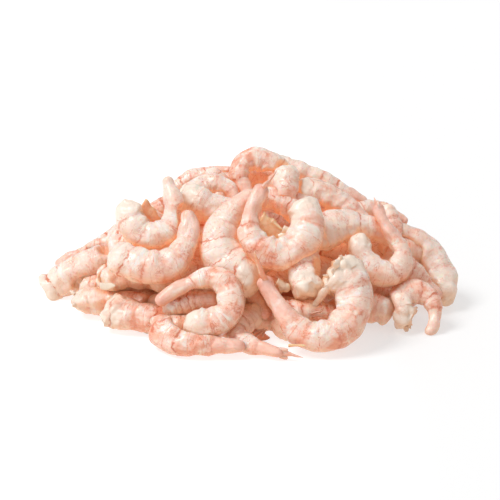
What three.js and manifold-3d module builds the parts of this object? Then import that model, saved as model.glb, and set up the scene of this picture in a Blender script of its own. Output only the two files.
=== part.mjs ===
// Cooked, peeled shrimp in a loose heap, lying as they were tipped out on a table.
// Millimetres, +Z up. The table is z = 0, the front of the heap faces -Y, and the
// origin is on the table under the peak. The heap is one solid: a plain core with
// the shrimp that show fused on to it, each a tapered body bent into its own curl.
import * as THREE from 'three';
import { mergeVertices } from 'three/addons/utils/BufferGeometryUtils.js';
import Module from 'manifold-3d';

const wasm = await Module();
wasm.setup();

// Sizes of one shrimp
const BODY_LINE = [
  // share of the length from the cut head end, share of the full thickness
  [0, 0], [0.006, 0.58], [0.08, 0.88], [0.2, 1], [0.34, 0.98], [0.43, 0.95],
  [0.52, 0.89], [0.61, 0.82], [0.71, 0.72], [0.83, 0.56], [0.95, 0.38], [1, 0],
];
const SIDES = 7;
const PLAIN_SIDES = 6;
const PLAIN_LEAVES_OUT = [2, 4, 6, 8];
const MERGE_WITHIN = 1e-4;
const FRONT_BEND = [0.03, 0.34];
const MIDDLE_BEND = [0.34, 0.66];
const TAIL_BEND = [0.66, 0.97];
const BEND_STEPS = 60;

// Sizes of the core under the shrimp
const CORE_HALF_WIDTH = 40;
const CORE_HALF_DEPTH = 33;
const CORE_BACK_SHIFT = 3;
const CORE_SIDES = 18;
const CORE_LINE = [
  // share of the half width, height
  [0, 0], [1, 0], [0.98, 3.5], [0.84, 9], [0.62, 17.5], [0.36, 26], [0.13, 31.5], [0, 32],
];

// Depth of the block that trims the heap flat where it lies on the table
const TRIM_SIZE = 200;
const TRIM_DEPTH = 20;

// Each shrimp is given by:
//   at      the middle of its body line
//   face    where the flat side of its curl looks: degrees round from the front
//           towards +X, and degrees up from level
//   back    where its back points at mid-length, in degrees clockwise from
//           upright, seen from that side
//   bends   how far the front, middle and tail thirds curl, in degrees from head
//           to tail, clockwise when positive
//   length  along the curl, and the full thickness
const shrimp = [];

function lay(at, face, back, bends, length, thickness) {
  shrimp.push({ at, face, back, bends, length, thickness, sides: SIDES });
}

// One that others cover in part, with fewer sides
function layPart(at, face, back, bends, length, thickness) {
  shrimp.push({ at, face, back, bends, length, thickness, sides: PLAIN_SIDES });
}

// The front row, lying on the table
lay([19.5, -46, 6], [5, 40], 167, [58, 112, 37], 48, 10.4);
lay([-5.5, -36, 15.5], [-6, 40], 55, [-72, -120, -42], 42, 8.6);
lay([-20, -46.5, 5.5], [0, 78], 228, [-95, -75, -25], 38, 7.8);
lay([-3, -41, 5], [0, 78], 258, [-45, -70, -30], 37, 6.6);
lay([-23.2, -31.5, 5], [0, 70], 182, [-8, -30, -50], 30, 8.8);
lay([-28.5, -23, 7.5], [0, 60], 0, [10, 15, 10], 28, 7.2);
lay([-41.6, -3.4, 10.6], [-25, 30], 330, [10, 15, 30], 32, 8.8);
layPart([-35, -18, 10], [0, 40], 25, [15, 10, 5], 14, 5.2);
layPart([-39, 9, 10.6], [-20, 30], 340, [-20, -15, -5], 31, 6.2);

// The left shoulder
lay([-24, -22, 24], [-12, 32], 156, [-80, -112, -46], 28.5, 8.6);
lay([-21.5, -29, 19], [-10, 38], 153, [-13, -62, -58], 35, 9.4);
lay([-11.5, -4, 35], [-10, 35], 348, [20, 60, 60], 25, 6.6);
lay([-5.5, -13.5, 30], [-5, 35], 180, [-12, -12, -12], 27, 8.6);
layPart([-15, 7, 31.5], [-25, 45], 325, [20, 25, 15], 21, 5.6);
layPart([-25, -2, 25.3], [-20, 45], 320, [20, 20, 10], 20, 6.4);
layPart([-24, -12.5, 24], [-10, 35], 20, [20, 20, 10], 16, 7.2);

// The middle, with the upright curl over the front row
lay([5, -31, 22.5], [2, 36], 196, [68, 115, 48], 42, 9.6);
lay([-7.5, -23, 24.5], [-5, 40], 272, [45, 60, 50], 36, 10.6);
layPart([-1.5, -26.5, 12.5], [0, 50], 50, [10, 15, 10], 24, 6.4);
layPart([8.5, -27, 16], [0, 40], 310, [20, 20, 10], 16, 6.4);
lay([14.5, -27, 19.5], [70, 35], 334, [20, 30, 20], 24, 10.6);

// The top
lay([0, 1, 39.3], [0, 35], 335, [-58, -112, -35], 29, 6.4);
lay([21.2, 4, 29.7], [10, 45], 28, [5, 5, 2], 31, 6.6);
layPart([8, -8, 30.5], [0, 45], 0, [20, 20, 10], 22, 6.6);
layPart([5.5, -18, 26], [0, 45], 20, [20, 20, 10], 20, 8);
layPart([11, -3, 31.5], [5, 40], 35, [10, 15, 10], 18, 7);

// The right shoulder
lay([26.5, -14, 24.5], [20, 45], 5, [20, 30, 30], 31, 10);
lay([24, -5, 29], [10, 45], 35, [20, 20, 10], 24, 7.6);
lay([38, -22, 14], [12, 36], 146, [-40, -130, -22], 40, 8.2);
layPart([39.5, -6, 19.8], [20, 45], 100, [20, 20, 10], 17, 5.2);
layPart([36, 1.5, 23.2], [20, 45], 20, [20, 20, 10], 17, 6);
lay([49.6, -4, 13.6], [35, 40], 68, [-40, -45, -15], 29, 8.4);
layPart([43.5, -4, 15], [20, 45], 20, [15, 15, 10], 18, 7);
layPart([44.5, -13, 10], [20, 45], 45, [20, 20, 10], 20, 8);
lay([45.7, -29, 10], [0, 38], 33, [95, 60, 45], 22.5, 6.2);
layPart([29, -26.5, 6], [10, 60], 0, [-15, -20, -20], 26, 8);

// Deeper ones that show in the gaps
layPart([-12.5, -14, 20.5], [0, 40], 280, [20, 20, 10], 34, 8);
layPart([-13.5, -23.5, 15], [0, 50], 0, [20, 20, 10], 28, 8);
layPart([-15.5, -24, 6.5], [0, 60], 0, [20, 20, 10], 24, 8);
layPart([-24, -14, 8], [0, 50], 10, [20, 20, 10], 36, 8);
layPart([23.5, -12, 15.5], [0, 50], 20, [20, 20, 10], 30, 8.4);
layPart([6, -31, 4.5], [0, 60], 10, [20, 20, 10], 28, 8);
layPart([28.5, 4, 23.5], [10, 50], 28, [10, 10, 10], 28, 7);
layPart([2, 5, 31], [0, 40], 0, [20, 20, 10], 32, 8);
layPart([33.5, -8, 15], [20, 45], 60, [20, 20, 10], 24, 7.6);
layPart([32, -18.5, 7.5], [20, 50], 20, [20, 20, 10], 24, 7.6);
layPart([-5.5, -2, 29.3], [0, 40], 60, [20, 20, 10], 19, 6);
layPart([24, -37.5, 4.2], [5, 60], 0, [10, 20, 15], 26, 8);
layPart([41, -14, 4.5], [40, 65], 0, [10, 30, 20], 24, 7.6);
layPart([-24.5, -16, 19.3], [-10, 50], 10, [15, 30, 15], 28, 8.2);
layPart([-25, -4.5, 18.6], [-15, 45], 0, [15, 30, 15], 30, 8);
layPart([-27, -20.5, 12.5], [-5, 50], 5, [10, 20, 10], 26, 8);
layPart([-34, -10, 5], [-30, 65], 0, [10, 30, 20], 22, 7.4);

// The far side, laid by rule in rings from the table up, from the right end (0
// degrees) round the back to the left end (180 degrees)
const FAR_RINGS = [
  { height: 4.8, halfWidth: 45, depth: 37, pieces: 7, from: 6, to: 174, tilt: 64 },
  { height: 12.5, halfWidth: 38, depth: 29, pieces: 6, from: 14, to: 158, tilt: 46 },
  { height: 20.5, halfWidth: 28, depth: 19.5, pieces: 4, from: 26, to: 140, tilt: 44 },
  { height: 28.5, halfWidth: 13.5, depth: 10, pieces: 3, from: 30, to: 142, tilt: 54 },
];
const FAR_CENTRE_Y = 5;
const FAR_LENGTH = [29, 35];
const FAR_LENGTH_PER_DEGREE = 0.04;
const FAR_THICKNESS = [7.2, 8.8];
const FAR_CURL = [60, 165];
const CLOCKWISE_SHARE = 0.6;
const LYING_ON_TABLE = 10;
const SEED = 11;

let drawn = SEED;

function draw(low, high) {
  drawn = (drawn * 1664525 + 1013904223) % 2 ** 32;
  return low + ((high - low) * drawn) / 2 ** 32;
}

for (const ring of FAR_RINGS) {
  for (let i = 0; i < ring.pieces; i++) {
    const round = ring.from + ((ring.to - ring.from) * (i + draw(-0.12, 0.12))) / (ring.pieces - 1);
    const turn = THREE.MathUtils.degToRad(round);
    const x = ring.halfWidth * Math.cos(turn);
    const y = FAR_CENTRE_Y + ring.depth * Math.sin(turn);
    const z = ring.height + draw(-0.5, 0.8);
    const curl = draw(...FAR_CURL) * (draw(0, 1) < CLOCKWISE_SHARE ? 1 : -1);
    const back = draw(-22, 22) + (ring.height < LYING_ON_TABLE ? 180 : 0);
    const length = draw(...FAR_LENGTH) + Math.abs(curl) * FAR_LENGTH_PER_DEGREE;
    const face = [round + 90 + draw(-8, 8), ring.tilt + draw(-6, 6)];
    const bends = [curl * 0.25, curl * 0.55, curl * 0.2];
    layPart([x, y, z], face, back, bends, length, draw(...FAR_THICKNESS));
  }
}

// How fast a body turns at a share of its length, one smooth hump for each third
function hump(share, [from, to]) {
  const soft = 0.07;
  const rise = THREE.MathUtils.smoothstep(share, from - soft, from + soft);
  const fall = THREE.MathUtils.smoothstep(share, to - soft, to + soft);
  return rise * (1 - fall);
}

// The body line of one shrimp: points and directions from head to tail
function bodyLine({ at, face, back, bends, length }) {
  const round = THREE.MathUtils.degToRad(face[0]);
  const up = THREE.MathUtils.degToRad(face[1]);
  const clock = THREE.MathUtils.degToRad(back);
  const look = new THREE.Vector3(
    Math.sin(round) * Math.cos(up), -Math.cos(round) * Math.cos(up), Math.sin(up));
  const right = new THREE.Vector3(Math.cos(round), Math.sin(round), 0);
  const upright = look.clone().cross(right);
  const out = upright.clone().multiplyScalar(Math.cos(clock)).addScaledVector(right, Math.sin(clock));
  const clockwise = bends[0] + bends[1] + bends[2] >= 0 ? 1 : -1;
  const along = right.clone().multiplyScalar(Math.cos(clock) * clockwise);
  along.addScaledVector(upright, -Math.sin(clock) * clockwise);

  const thirds = [FRONT_BEND, MIDDLE_BEND, TAIL_BEND];
  const shares = [];
  for (let i = 0; i <= BEND_STEPS; i++) shares.push(i / BEND_STEPS);
  const totals = thirds.map((third) => shares.reduce((sum, s) => sum + hump(s, third), 0));
  const turned = [];
  let sum = 0;
  for (const share of shares) {
    let step = 0;
    thirds.forEach((third, i) => {
      step += (bends[i] * clockwise * hump(share, third)) / totals[i];
    });
    turned.push(THREE.MathUtils.degToRad(sum + step / 2));
    sum += step;
  }
  const middle = turned[BEND_STEPS / 2];
  const directions = turned.map((angle) => {
    const direction = along.clone().multiplyScalar(Math.cos(angle - middle));
    return direction.addScaledVector(out, -Math.sin(angle - middle));
  });

  const points = [new THREE.Vector3()];
  for (let i = 1; i <= BEND_STEPS; i++) {
    const half = length / BEND_STEPS / 2;
    const point = points[i - 1].clone().addScaledVector(directions[i - 1], half);
    points.push(point.addScaledVector(directions[i], half));
  }
  const shift = new THREE.Vector3(...at).sub(points[BEND_STEPS / 2]);
  points.forEach((point) => point.add(shift));
  const side = out.clone().cross(along);
  return { points, directions, side };
}

// A closed geometry as a solid: only positions, with shared points merged
function solid(geometry) {
  geometry.deleteAttribute('normal');
  geometry.deleteAttribute('uv');
  const merged = mergeVertices(geometry, MERGE_WITHIN);
  const triangles = [];
  const index = merged.index.array;
  for (let i = 0; i < index.length; i += 3) {
    const [a, b, c] = index.slice(i, i + 3);
    if (a !== b && b !== c && c !== a) triangles.push(a, b, c);
  }
  const made = new wasm.Manifold(new wasm.Mesh({
    numProp: 3,
    vertProperties: new Float32Array(merged.attributes.position.array),
    triVerts: new Uint32Array(triangles),
  }));
  return made;
}

// One shrimp: a tapered body turned straight, then bent along its body line
function shrimpBody(piece) {
  const line = bodyLine(piece);
  const plain = piece.sides === PLAIN_SIDES;
  const profile = BODY_LINE.filter((_, i) => !(plain && PLAIN_LEAVES_OUT.includes(i)));
  const outline = profile.map(([share, thick]) =>
    new THREE.Vector2((thick * piece.thickness) / 2, share * piece.length));
  const body = new THREE.LatheGeometry(outline, piece.sides);
  const position = body.attributes.position;
  const point = new THREE.Vector3();
  for (let i = 0; i < position.count; i++) {
    const step = (position.getY(i) / piece.length) * BEND_STEPS;
    const first = Math.min(Math.floor(step), BEND_STEPS - 1);
    const along = line.directions[first].clone().lerp(line.directions[first + 1], step - first);
    along.normalize();
    const outward = along.clone().cross(line.side).normalize();
    point.copy(line.points[first]).lerp(line.points[first + 1], step - first);
    point.addScaledVector(outward, position.getX(i));
    point.addScaledVector(line.side, position.getZ(i));
    position.setXYZ(i, point.x, point.y, point.z);
  }
  return solid(body);
}

function core() {
  const outline = CORE_LINE.map(([share, height]) => new THREE.Vector2(share * CORE_HALF_WIDTH, height));
  const body = new THREE.LatheGeometry(outline, CORE_SIDES);
  body.rotateX(Math.PI / 2);
  body.scale(1, CORE_HALF_DEPTH / CORE_HALF_WIDTH, 1);
  body.translate(0, CORE_BACK_SHIFT, 0);
  return solid(body);
}

function underTable() {
  const block = new THREE.BoxGeometry(TRIM_SIZE, TRIM_SIZE, TRIM_DEPTH);
  block.translate(0, 0, -TRIM_DEPTH / 2);
  return solid(block);
}

// The heap is the largest body of the join: loose scraps and shut hollows go
function heap() {
  let joined = core();
  for (const piece of shrimp) joined = joined.add(shrimpBody(piece));
  const bodies = joined.subtract(underTable()).decompose();
  return bodies.reduce((most, body) => (body.volume() > most.volume() ? body : most));
}

function toGeometry(body) {
  const mesh = body.getMesh();
  const geometry = new THREE.BufferGeometry();
  geometry.setAttribute('position', new THREE.BufferAttribute(new Float32Array(mesh.vertProperties), 3));
  geometry.setIndex(new THREE.BufferAttribute(new Uint32Array(mesh.triVerts), 1));
  geometry.computeVertexNormals();
  return geometry;
}

const flesh = new THREE.MeshStandardMaterial({ color: 0xf4d3c0, roughness: 0.42, metalness: 0 });
const shrimpHeap = new THREE.Mesh(toGeometry(heap()), flesh);
shrimpHeap.name = 'shrimp_heap';

const part = new THREE.Group();
part.add(shrimpHeap);

export default part;
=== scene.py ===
# Cooked, peeled cold-water shrimp in a loose heap, lying as they were tipped out on a table.
# Places and sizes are in millimetres until a mesh is made. The table is z = 0, the front of
# the heap faces -Y, and the origin is on the table under the peak.
import math

import bpy
import numpy as np
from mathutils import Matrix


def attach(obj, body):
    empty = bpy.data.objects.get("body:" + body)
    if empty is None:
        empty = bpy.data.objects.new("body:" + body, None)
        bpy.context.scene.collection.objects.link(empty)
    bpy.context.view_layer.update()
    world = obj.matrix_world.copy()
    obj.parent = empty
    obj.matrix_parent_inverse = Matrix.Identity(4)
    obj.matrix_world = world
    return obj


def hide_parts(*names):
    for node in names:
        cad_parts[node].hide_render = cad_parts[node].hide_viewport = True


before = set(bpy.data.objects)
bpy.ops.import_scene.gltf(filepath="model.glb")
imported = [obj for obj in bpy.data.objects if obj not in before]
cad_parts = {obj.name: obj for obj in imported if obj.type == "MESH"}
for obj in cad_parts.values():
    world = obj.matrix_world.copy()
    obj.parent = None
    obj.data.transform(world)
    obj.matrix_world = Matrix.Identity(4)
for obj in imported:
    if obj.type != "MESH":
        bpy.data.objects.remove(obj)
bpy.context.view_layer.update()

# The heart of the heap: shrimp pressed together out of sight, shut in by the ones laid over
# them. It is one mound of cooked flesh with lumps as large as a shrimp's body, painted a dim
# orange for the shade down the deepest gaps, which is all that shows of it.
MM = 0.001
HEART_HALF_WIDTH = 34.0
HEART_HALF_DEPTH = 27.0
HEART_BACK_SHIFT = 3.0
HEART_HEIGHT = 28.0
HEART_RINGS = 44
HEART_SIDES = 96
HEART_LUMP = 8.0
HEART_LUMP_HEIGHT = 0.8
HEART_SEED = 3
HEART_RISE = (0.02, 0.98)
HEART_STEEPNESS = 1.3
HEART_TABLE_GAP = 0.2


def paint(red, green, blue):
    """A colour from 0 to 255 a channel as Blender's linear colour"""
    shares = [channel / 255 for channel in (red, green, blue)]
    return [x / 12.92 if x <= 0.04045 else ((x + 0.055) / 1.055) ** 2.4 for x in shares] + [1.0]


def waves(points, lump, seed, count=14, paces=(0.6, 1.5)):
    """A smooth random height about 0 and mostly within 1, with lumps of about this size"""
    chance = np.random.RandomState(seed)
    heading = chance.normal(size=(count, 3))
    heading /= np.linalg.norm(heading, axis=1)[:, None]
    pace = math.pi / lump * chance.uniform(*paces, (count, 1))
    phase = chance.uniform(0, math.tau, count)
    return np.cos(points @ (heading * pace).T + phase).sum(axis=-1) * math.sqrt(1 / count)


def tube_faces(rings, sides):
    """Faces of a body of rings between two end points, in order from its first end"""
    faces = [[0, 1 + j, 1 + (j + 1) % sides] for j in range(sides)]
    for i in range(rings - 1):
        for j in range(sides):
            here, beside = 1 + i * sides + j, 1 + i * sides + (j + 1) % sides
            faces.append([here, here + sides, beside + sides, beside])
    last = 1 + rings * sides
    start = last - sides
    faces += [[last, start + (j + 1) % sides, start + j] for j in range(sides)]
    return faces


def put_mesh(name, points, faces, marks, finish):
    """An object from points in millimetres, with its marks kept on the points for the finish"""
    mesh = bpy.data.meshes.new(name)
    mesh.from_pydata((points * MM).tolist(), [], faces)
    for mark, values in marks.items():
        kind, slot = ("FLOAT", "value") if values.ndim == 1 else ("FLOAT_VECTOR", "vector")
        layer = mesh.attributes.new(mark, kind, "POINT")
        layer.data.foreach_set(slot, values.astype(np.float32).ravel())
    mesh.shade_smooth()
    mesh.materials.append(finish)
    piece = bpy.data.objects.new(name, mesh)
    bpy.context.collection.objects.link(piece)
    return piece


rise = np.linspace(*HEART_RISE, HEART_RINGS)[:, None] * math.pi / 2
round_about = np.linspace(0, math.tau, HEART_SIDES, endpoint=False)[None, :]
mound = np.stack([
    HEART_HALF_WIDTH * np.cos(rise) * np.cos(round_about),
    HEART_HALF_DEPTH * np.cos(rise) * np.sin(round_about) + HEART_BACK_SHIFT,
    HEART_HEIGHT * np.sin(rise) ** HEART_STEEPNESS * np.ones_like(round_about),
], axis=-1).reshape(-1, 3)
mound *= 1 + HEART_LUMP_HEIGHT / HEART_HEIGHT * waves(mound, HEART_LUMP, HEART_SEED)[:, None]
mound[:, 2] = np.maximum(mound[:, 2], HEART_TABLE_GAP)
under = [[0, HEART_BACK_SHIFT, HEART_TABLE_GAP]]
peak = [[0, HEART_BACK_SHIFT, HEART_HEIGHT]]

heart_finish = bpy.data.materials.new("deep_flesh")
heart_finish.use_nodes = True
deep = heart_finish.node_tree.nodes["Principled BSDF"]
deep.inputs["Roughness"].default_value = 0.55
patches = heart_finish.node_tree.nodes.new("ShaderNodeTexNoise")
patches.inputs["Scale"].default_value = 220.0
patches.inputs["Detail"].default_value = 4.0
# Painted shade: the mound's flesh is a dim orange for the shade deep in the gaps
painted_shade_orange = heart_finish.node_tree.nodes.new("ShaderNodeMix")
painted_shade_orange.data_type = "RGBA"
painted_shade_orange.inputs["A"].default_value = paint(196, 96, 60)
painted_shade_orange.inputs["B"].default_value = paint(238, 170, 132)
places = heart_finish.node_tree.nodes.new("ShaderNodeTexCoord")
heart_finish.node_tree.links.new(places.outputs["Object"], patches.inputs["Vector"])
heart_finish.node_tree.links.new(patches.outputs["Fac"], painted_shade_orange.inputs["Factor"])
heart_finish.node_tree.links.new(painted_shade_orange.outputs["Result"], deep.inputs["Base Color"])

heart = put_mesh("heart_of_heap", np.concatenate([under, mound, peak]),
                 tube_faces(HEART_RINGS, HEART_SIDES), {}, heart_finish)
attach(heart, "root")
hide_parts("shrimp_heap")

# Shrimp inside the heap: whole peeled tails, cream flesh under a pink film, laid round the
# heart in rings. They show only through the gaps between the outer ones, so they are laid
# by rule. A shrimp is a tapered body bent into a curl, and its flesh gives where it presses.
GIRTH = [
    # share of the length from the cut head end, share of the full thickness
    (0.0, 0.82), (0.04, 0.89), (0.12, 0.97), (0.24, 1.0), (0.36, 0.97), (0.46, 0.92), (0.56, 0.83),
    (0.64, 0.73), (0.71, 0.65), (0.76, 0.56), (0.88, 0.52), (0.96, 0.47), (1.0, 0.40),
]
BODY_WIDTH = 0.9
SEGMENT_EDGES = [0.16, 0.31, 0.46, 0.59, 0.72]
THIRDS = [(0.03, 0.34), (0.34, 0.66), (0.66, 0.97)]
THIRD_SOFTNESS = 0.07
BEND_STEPS = 60
LINE_STRIDE = 2
FINE = (150, 48)
PLAIN = (84, 34)
ROUGH = (44, 20)

laid = []


def smooth_step(value, low, high):
    share = np.clip((value - low) / (high - low), 0, 1)
    return share * share * (3 - 2 * share)


def body_line(at, face, back, bends, length):
    """Centre points, headings, side and turn per millimetre of one shrimp, head to tail"""
    round_, up = math.radians(face[0]), math.radians(face[1])
    clock = math.radians(back)
    look = np.array([math.sin(round_) * math.cos(up), -math.cos(round_) * math.cos(up), math.sin(up)])
    right = np.array([math.cos(round_), math.sin(round_), 0.0])
    upright = np.cross(look, right)
    out = upright * math.cos(clock) + right * math.sin(clock)
    clockwise = 1 if sum(bends) >= 0 else -1
    along = (right * math.cos(clock) - upright * math.sin(clock)) * clockwise

    share = np.arange(BEND_STEPS + 1) / BEND_STEPS
    step = np.zeros(BEND_STEPS + 1)
    for bend, (low, high) in zip(bends, THIRDS):
        hump = smooth_step(share, low - THIRD_SOFTNESS, low + THIRD_SOFTNESS)
        hump = hump * (1 - smooth_step(share, high - THIRD_SOFTNESS, high + THIRD_SOFTNESS))
        step += bend * clockwise * hump / hump.sum()
    turned = np.radians(np.cumsum(step) - step / 2)
    turned -= turned[BEND_STEPS // 2]
    heading = np.cos(turned)[:, None] * along - np.sin(turned)[:, None] * out
    centre = np.zeros((BEND_STEPS + 1, 3))
    centre[1:] = np.cumsum((heading[:-1] + heading[1:]) / 2, axis=0) * length / BEND_STEPS
    centre += np.array(at) - centre[BEND_STEPS // 2]
    return centre, heading, np.cross(out, along), np.radians(step) * BEND_STEPS / length


def girth(share, thickness, head_girth, tail_girth):
    shares, sizes = zip(*GIRTH)
    taper = 1 + (tail_girth - 1) * share ** 2 + (head_girth - 1) * (1 - share) ** 4
    return np.interp(share, shares, sizes) * thickness / 2 * taper


PRESS_PASSES = 2
LEAST_FACING = 0.3
MOST_DRAWN = 0.8
SOFTENING_PASSES = 3
TABLE_CLEARANCE = 0.05
TABLE_SOFTNESS = 0.25


def give_way(skin, line):
    """Flesh draws back towards its own body line where another shrimp or the table is"""
    outward = skin - line
    reach = np.linalg.norm(outward, axis=-1)
    outward /= np.maximum(reach, 1e-6)[..., None]
    drawn = np.zeros(reach.shape)
    for other_line, other_radius in laid:
        thick = other_radius.max()
        low, high = other_line.min(axis=0) - thick, other_line.max(axis=0) + thick
        near = ((skin > low) & (skin < high)).all(axis=-1)
        if not near.any():
            continue
        spot, way, back = skin[near], outward[near], drawn[near]
        rows = np.arange(len(spot))
        for _ in range(PRESS_PASSES):
            apart = (spot - way * back[:, None])[:, None] - other_line[None]
            distance = np.linalg.norm(apart, axis=-1)
            gap = distance - other_radius
            nearest = gap.argmin(axis=1)
            away = apart[rows, nearest] / np.maximum(distance[rows, nearest], 1e-6)[:, None]
            facing = np.clip(-(way * away).sum(axis=1), LEAST_FACING, 1)
            back = back + np.maximum(-gap[rows, nearest], 0) / facing
        drawn[near] = np.minimum(back, reach[near] * MOST_DRAWN)
    soft = drawn
    for _ in range(SOFTENING_PASSES):
        soft = (soft + np.roll(soft, 1, axis=1) + np.roll(soft, -1, axis=1)) / 3
        soft[1:-1] = (soft[1:-1] + soft[:-2] + soft[2:]) / 3
    skin = skin - outward * np.maximum(drawn, soft)[..., None]
    rise = (skin[..., 2] - TABLE_CLEARANCE) / TABLE_SOFTNESS
    skin[..., 2] = TABLE_CLEARANCE + TABLE_SOFTNESS * np.logaddexp(0, rise)
    return skin


def joined(bodies):
    """Points, faces and marks of several bodies as one"""
    faces, count = [], 0
    for points, body_faces, _ in bodies:
        faces += [[corner + count for corner in face] for face in body_faces]
        count += len(points)
    marks = {mark: np.concatenate([body[2][mark] for body in bodies]) for mark in bodies[0][2]}
    return np.concatenate([body[0] for body in bodies]), faces, marks


SLIVER_GRAIN = (12, 10)
SLIVER_EDGE = 0.06
SLIVER_LIFT = 0.04
SLIVER_UNEVENNESS = 0.3
SLIVER_LUMP = 1.6
SLIVER_SEED = 7
FAR_FROM_SEAM = 4.0


def sliver(start, ahead, normal, length, width, flat=0.3, curl=0.2, blunt=0.6, head=1.0, tail=0.0,
           blush=0.2):
    """A thin torn or pointed bit of flesh or shell that stands off a shrimp"""
    rings, sides = SLIVER_GRAIN
    start, ahead, normal = [np.asarray(v, float) for v in (start, ahead, normal)]
    ahead = ahead / np.linalg.norm(ahead)
    side = np.cross(normal, ahead)
    side /= np.linalg.norm(side)
    normal = np.cross(ahead, side)
    along = np.linspace(0.0, 1.0, rings)[:, None]
    angle = np.linspace(0, math.tau, sides, endpoint=False)[None, :]
    half = width / 2 * np.maximum(1 - along ** 2, 0.0) ** blunt + SLIVER_EDGE
    own = [half * np.cos(angle) * flat, half * np.sin(angle), along * length]
    own = np.stack(np.broadcast_arrays(*own), axis=-1)
    own = own + start * 3.0
    uneven = 1 + SLIVER_UNEVENNESS * waves(own, SLIVER_LUMP, SLIVER_SEED)
    line = start + ahead * (along * length)[..., None] + normal * (along ** 2 * curl * length)[..., None]
    skin = line + normal * (half * flat * np.cos(angle) + SLIVER_LIFT)[..., None]
    skin = skin + side * (half * uneven * np.sin(angle))[..., None]
    skin[..., 2] = np.maximum(skin[..., 2], TABLE_CLEARANCE)
    points = np.concatenate([skin[0].mean(axis=0)[None], skin.reshape(-1, 3), skin[-1].mean(axis=0)[None]])
    owns = np.concatenate([own[0].mean(axis=0)[None], own.reshape(-1, 3), own[-1].mean(axis=0)[None]])
    full = np.ones(len(points))
    marks = {"skin": owns, "back": full, "head": head * full, "tail": tail * full,
             "seam": FAR_FROM_SEAM * full, "seam_strength": 0.0 * full, "blush": blush * full}
    return points, tube_faces(rings, sides), marks


# Lumps, their heights and reaches are in millimetres. Grooves and swells are shares of the girth
# deep and radians wide, and what lies along the body is a share of its length or thickness.
CAP_RINGS = 9
CAP_ROUNDNESS = 2.6
TAIL_CUT = 0.20
EDGE_DRIFT = 0.015
EDGE_CROWDING = 2.5
CROWD_REACH = 0.9
CROWD_STEPS = 2000
CREASE_STRENGTHS = [0.25, 0.6, 1.0]
PATTERN_SPREAD = 200
COARSE_LUMP = 6.0
COARSE_HEIGHT = 0.30
MIDDLING_LUMP = 2.6
MIDDLING_HEIGHT = 0.17
SMALL_LUMP = 1.25
SMALL_HEIGHT = 0.07
LIP_LINE = 3.1
LIP_REACH = 3
PRESSED_GIRTH = 0.96
FOLD_HEIGHT = 0.14
FOLD_REACH = 1.3
CREASE_DEPTH_BACK = 0.02
CREASE_DEPTH_BELLY = 0.24
SWELL_BACK = 0.02
SWELL_BELLY = 0.06
BELLY_GROOVE_DEPTH = 0.12
BELLY_GROOVE_WIDTH = 0.3
SIDE_GROOVE_DEPTH = 0.035
SIDE_GROOVE_PLACE = 0.95
SIDE_GROOVE_WIDTH = 0.18
TORN_FROM = 0.95
TORN_FULL = 0.12
TORN_LUMP = 1.9
TORN_HEIGHT = 0.45
FRAYED_LUMP = 1.1
FRAYED_HEIGHT = 0.32
CURL_ROOM = 0.8
CURL_SOFTNESS = 0.4
PALE_HEAD_REACH = (1.0, 8.0)
PALE_TIP_REACH = (3.6, 1.6)
TAIL_STARTS = (0.70, 0.78)
TAIL_REDDEST = (0.88, 1.0)
BLUSH_RISE = 0.5
BLUSH_EVEN_AT = 0.42


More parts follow.
